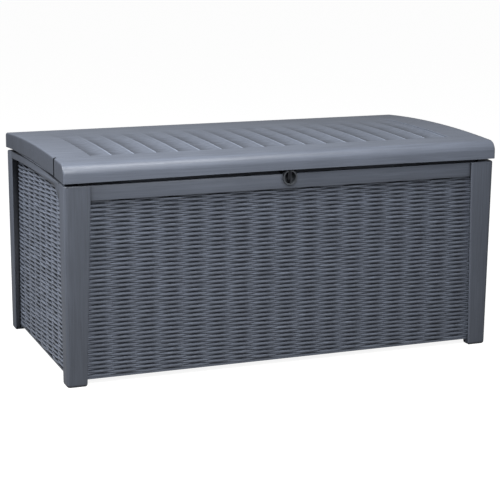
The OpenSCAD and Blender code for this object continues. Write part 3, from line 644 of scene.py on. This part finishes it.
def swept_skin(profile, stations, drop):
    """Skin that follows a side view at every place along X, with rounded and closed ends."""
    turns = [math.radians(90 * step / 4) for step in range(5)]
    base = half_length - END_EDGE_RADIUS
    rounded = [(base + END_EDGE_RADIUS * math.sin(turn), END_EDGE_RADIUS * (1 - math.cos(turn)))
               for turn in turns]
    columns = [(-x, inset) for x, inset in reversed(rounded)]
    columns += [(x, 0.0) for x in stations if abs(x) < base - END_CLEARANCE]
    columns += rounded
    normals = profile_normals(profile)
    bm = bmesh.new()
    made = bmesh.ops.create_grid(bm, x_segments=len(columns) - 1, y_segments=len(profile) - 1, size=0.5)
    for vert in made["verts"]:
        x, inset = columns[round((vert.co.x + 0.5) * (len(columns) - 1))]
        place = round((vert.co.y + 0.5) * (len(profile) - 1))
        y, z = profile[place]
        ny, nz = normals[place]
        vert.co = (x, y - inset * ny, z - inset * nz - drop(x, y, z))
    close_ends(bm)
    for vert in bm.verts:
        if abs(vert.co.x) > half_length - TOUCHING and vert.co.z < lid_lower_edge + TOUCHING:
            vert.co.z += end_rise(vert.co.y)
    return bm


def close_ends(bm):
    """Carries both rims of a swept skin straight down to the lid's lower edge."""
    for end in (-half_length, half_length):
        rim = [edge for edge in bm.edges if edge.is_boundary
               and all(abs(vert.co.x - end) < TOUCHING for vert in edge.verts)]
        grown = bmesh.ops.extrude_edge_only(bm, edges=rim)["geom"]
        for vert in grown:
            if isinstance(vert, bmesh.types.BMVert):
                vert.co.z = lid_lower_edge
    bmesh.ops.remove_doubles(bm, verts=bm.verts, dist=CLOSE)


def groove_ends(bm):
    """Draws both ends in at the seam, so that the two mouldings meet in a groove."""
    for vert in bm.verts:
        share = (abs(vert.co.x) - half_length) / END_EDGE_RADIUS + 1
        if abs(vert.co.y - LID_SEAM_Y) < SEAM_GROOVE / 2 and share > 0:
            vert.co.x -= math.copysign(share * SEAM_GROOVE_DEPTH, vert.co.x)


def give_wall(bm, wall):
    """Turns an open moulded skin into a wall of even thickness behind it."""
    bmesh.ops.recalc_face_normals(bm, faces=bm.faces)
    if sum(face.normal.z for face in bm.faces) < 0:
        bmesh.ops.reverse_faces(bm, faces=bm.faces)
    bmesh.ops.solidify(bm, geom=bm.faces, thickness=wall)
    bmesh.ops.recalc_face_normals(bm, faces=bm.faces)


def add_knuckle(bm, x):
    """Hinge knuckle under the lid's back edge, with the web that carries it."""
    bore = Vector((x, HINGE_Y, HINGE_Z))
    section = ((-1, PIN_BORE), (1, PIN_BORE), (1, KNUCKLE_RADIUS), (-1, KNUCKLE_RADIUS))
    start = [bm.verts.new(bore + Vector((side * KNUCKLE_LENGTH / 2, 0, radius)))
             for side, radius in section]
    loop = [bm.edges.new((start[index], start[(index + 1) % 4])) for index in range(4)]
    bmesh.ops.spin(bm, geom=start + loop, cent=bore, axis=(1, 0, 0), angle=math.tau,
                   steps=KNUCKLE_STEPS, use_merge=True)
    web_low = HINGE_Z + PIN_BORE
    web = bmesh.ops.create_cube(bm, size=1.0)["verts"]
    bmesh.ops.scale(bm, vec=(KNUCKLE_LENGTH, WEB_THICKNESS, WEB_TOP - web_low), verts=web)
    bmesh.ops.translate(bm, vec=(x, HINGE_Y + WEB_SET_BACK, (WEB_TOP + web_low) / 2), verts=web)


def lid_shell():
    """Lid behind the seam, with the seat pattern, a wall of even thickness and three knuckles."""
    def drop(x, y, z):
        return seat_drop(x, y) if z > lid_lower_edge + SEAT_ABOVE_EDGE else 0.0

    bm = swept_skin(shell_profile(), scallop_stations(), drop)
    groove_ends(bm)
    give_wall(bm, LID_WALL)
    for x in (-HINGE_PITCH, 0.0, HINGE_PITCH):
        add_knuckle(bm, x)
    bmesh.ops.recalc_face_normals(bm, faces=bm.faces)
    new_piece("lid_shell_moulding", bm, lid_resin, "lid", ["lid_shell"])


def lid_nose():
    """Front moulding with its round nose; its lower edge rises a little at the middle."""
    def drop(x, y, z):
        share = min(1.0, abs(x) / (half_length - EDGE_RISE_MARGIN))
        rise = EDGE_RISE * math.cos(math.pi / 2 * share)
        return -rise if z < lid_lower_edge + TOUCHING else 0.0

    stations = [mix(-half_length, half_length, step / 32) for step in range(33)]
    bm = swept_skin(nose_profile(), stations, drop)
    groove_ends(bm)
    give_wall(bm, LID_WALL)
    new_piece("lid_nose_moulding", bm, lid_resin, "lid", ["lid_nose_rail"])


lid_shell()
lid_nose()


# ---------------------------------------------------------------- panels, posts and fittings

def press_bands(bm, outwards, crest_foot, crest_head, rail_foot):
    """Presses a wall's simple woven bands almost flat, so that the full weave can lie over them."""
    for vert in bm.verts:
        if not FOOT_LIP_TOP - NEAR < vert.co.z < rail_foot + NEAR:
            continue
        share = (vert.co.z - FOOT_LIP_TOP) / (rail_foot - FOOT_LIP_TOP)
        plain = mix(crest_foot, crest_head, share) - BULGE_HEIGHT
        stand = vert.co.dot(outwards) - plain
        at_lip = vert.co.z < FOOT_LIP_TOP + NEAR and stand > PRESSED_SHARE * BULGE_HEIGHT
        if CLOSE < stand < 1.05 * BULGE_HEIGHT and not at_lip:
            vert.co -= PRESSED_SHARE * stand * outwards


def arch_ends(bm, foot):
    """Arches everything above a height upwards, in step with the lower edge of the lid's ends."""
    for step in range(-4, 5):
        bmesh.ops.bisect_plane(bm, geom=bm.verts[:] + bm.edges[:] + bm.faces[:], dist=TOUCHING,
                               plane_co=(0, ARCH_CUT_PITCH * step, 0), plane_no=(0, 1, 0))
    for vert in bm.verts:
        if vert.co.z > foot - NEAR:
            vert.co.z += end_rise(vert.co.y)


def reshape_wall(bm, outwards, crest_foot, crest_head, rail_foot):
    """Makes a panel's copy ready for its woven face, and arches its rail when it closes an end."""
    press_bands(bm, outwards, crest_foot, crest_head, rail_foot)
    if abs(outwards.x) > 0.5:
        arch_ends(bm, rail_foot)


def clear_of_weave(edge):
    """True for an edge above the rails' lower edge; the woven faces lie over what is below."""
    middle = (edge.verts[0].co + edge.verts[1].co) / 2
    return middle.z > FRONT_RAIL_FOOT - FRONT_RAIL_MARGIN


def softened(cad_node, material, reshape, radius=0.0):
    """A reshaped copy of a wall or a post that stands for it, with the edges above the weave rounded."""
    bm = bmesh.new()
    bm.from_mesh(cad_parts[cad_node].data)
    bmesh.ops.remove_doubles(bm, verts=bm.verts, dist=TOUCHING)
    reshape(bm)
    bmesh.ops.dissolve_limit(bm, angle_limit=math.radians(0.5), verts=bm.verts, edges=bm.edges)
    if radius > 0:
        sharp = [edge for edge in bm.edges
                 if edge.is_manifold and edge.calc_face_angle(0.0) > math.radians(40)
                 and clear_of_weave(edge)]
        round_edges(bm, sharp, radius, 2)
    new_piece(cad_node + "_finished", bm, material, "root", [cad_node])


def dress(cad_node, material):
    """Gives its finish to a piece that is shown as it is."""
    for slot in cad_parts[cad_node].material_slots:
        slot.material = material


WALLS = (
    ("front_panel", rail_resin, Vector((0, -1, 0)), FRONT_SKIN_FOOT, FRONT_SKIN_HEAD, FRONT_RAIL_FOOT),
    ("back_panel", rail_resin, Vector((0, 1, 0)), BACK_SKIN, BACK_SKIN, FRONT_RAIL_FOOT),
    ("left_panel", end_resin, Vector((-1, 0, 0)), END_SKIN_FOOT, END_SKIN_HEAD, END_RAIL_FOOT),
    ("right_panel", end_resin, Vector((1, 0, 0)), END_SKIN_FOOT, END_SKIN_HEAD, END_RAIL_FOOT),
)
for wall, finish, outwards, crest_foot, crest_head, rail_foot in WALLS:
    softened(wall, finish, lambda bm: reshape_wall(bm, outwards, crest_foot, crest_head, rail_foot),
             PANEL_EDGE_RADIUS)
for corner in ("front_left", "front_right", "back_left", "back_right"):
    softened("post_" + corner, post_resin, lambda bm: arch_ends(bm, POST_TOP))

DRESSED = (
    (inner_resin, ("floor_panel", "lid_liner")),
    (cup_resin, ("lock_cup",)),
    (fitting_resin, ("lock_eye", "lid_lock_tab", "strut_bracket_left", "strut_bracket_right",
                     "lid_bracket_left", "lid_bracket_right")),
    (black_paint, ("strut_tube_left", "strut_tube_right")),
    (zinc, ("strut_rod_left", "strut_rod_right", "strut_clip_left", "strut_clip_right",
            "hinge_pin_left", "hinge_pin_middle", "hinge_pin_right", "bracket_screws",
            "lid_bracket_screws")),
)
for finish, names in DRESSED:
    for name in names:
        dress(name, finish)


# ---------------------------------------------------------------- floor, light and camera

FLOOR_RADIUS = 30.0
FLOOR_COLOUR = (0.3, 0.3, 0.3, 1.0)
FLOOR_GLOW = 0.9
SURROUNDINGS = 0.26
BOX_CENTRE = (0.0, 0.0, 0.3)
# name, place, width and depth in metres, power in watts
LAMPS = (
    ("front_light", (-0.6, -2.6, 2.1), 0.9, 0.9, 56.0),
    ("left_light", (-2.0, -0.5, 2.0), 0.6, 0.6, 72.0),
    ("strip_light", (0.0, -0.9, 2.2), 1.3, 0.7, 32.0),
)


def studio_floor():
    """Pale floor that carries the box's shadow and meets a white background."""
    bm = bmesh.new()
    bmesh.ops.create_circle(bm, cap_ends=True, radius=FLOOR_RADIUS, segments=96)
    mesh = bpy.data.meshes.new("studio_floor")
    bm.to_mesh(mesh)
    bm.free()
    floor = bpy.data.objects.new("studio_floor", mesh)
    bpy.context.scene.collection.objects.link(floor)
    material = bpy.data.materials.new("studio_floor")
    material.use_nodes = True
    tree = material.node_tree
    tree.nodes.clear()
    diffuse = node(tree, "ShaderNodeBsdfDiffuse")
    diffuse.inputs["Color"].default_value = FLOOR_COLOUR
    glow = node(tree, "ShaderNodeEmission")
    path = node(tree, "ShaderNodeLightPath")
    seen = math_node(tree, "MULTIPLY", path.outputs["Is Camera Ray"], FLOOR_GLOW)
    plug(tree, seen, glow.inputs["Strength"])
    both = node(tree, "ShaderNodeAddShader")
    plug(tree, diffuse.outputs["BSDF"], both.inputs[0])
    plug(tree, glow.outputs["Emission"], both.inputs[1])
    output = node(tree, "ShaderNodeOutputMaterial")
    plug(tree, both.outputs["Shader"], output.inputs["Surface"])
    mesh.materials.append(material)


def studio_world(strength):
    """Even white surroundings; the camera sees plain white."""
    world = bpy.data.worlds.new("studio")
    bpy.context.scene.world = world
    world.use_nodes = True
    tree = world.node_tree
    background = tree.nodes["Background"]
    background.inputs["Color"].default_value = (1.0, 1.0, 1.0, 1.0)
    seen = node(tree, "ShaderNodeLightPath").outputs["Is Camera Ray"]
    plug(tree, map_range(tree, seen, 0.0, 1.0, strength, 1.0), background.inputs["Strength"])


def soft_light(name, place, aim, width, depth, power):
    """A large rectangular lamp that faces a point."""
    lamp = bpy.data.lights.new(name, "AREA")
    lamp.shape = "RECTANGLE"
    lamp.size = width
    lamp.size_y = depth
    lamp.energy = power
    light = bpy.data.objects.new(name, lamp)
    bpy.context.scene.collection.objects.link(light)
    light.location = place
    light.rotation_euler = (Vector(aim) - Vector(place)).to_track_quat("-Z", "Y").to_euler()


def studio_camera():
    """Camera at a stated bearing and height, aimed at the middle of the box."""
    azimuth = math.radians(-21.317)
    elevation = math.radians(12.52)
    roll = math.radians(0.275)
    distance = 4.5594
    focal_length = 108.32
    aim = Vector((0.0154, 0.0, 0.2659))
    back = Vector((math.sin(azimuth) * math.cos(elevation),
                   -math.cos(azimuth) * math.cos(elevation), math.sin(elevation)))
    right = Vector((0, 0, 1)).cross(back).normalized()
    up = back.cross(right)
    level = Matrix((right, up, back)).transposed()
    data = bpy.data.cameras.new("camera")
    data.sensor_width = 36.0
    data.lens = focal_length
    camera = bpy.data.objects.new("camera", data)
    bpy.context.scene.collection.objects.link(camera)
    camera.matrix_world = Matrix.Translation(aim + back * distance) @ (
        level @ Matrix.Rotation(roll, 3, "Z")).to_4x4()
    bpy.context.scene.camera = camera


studio_floor()
studio_world(SURROUNDINGS)
for name, place, width, depth, power in LAMPS:
    soft_light(name, place, BOX_CENTRE, width, depth, power)
studio_camera()
bpy.context.scene.view_settings.view_transform = "Standard"
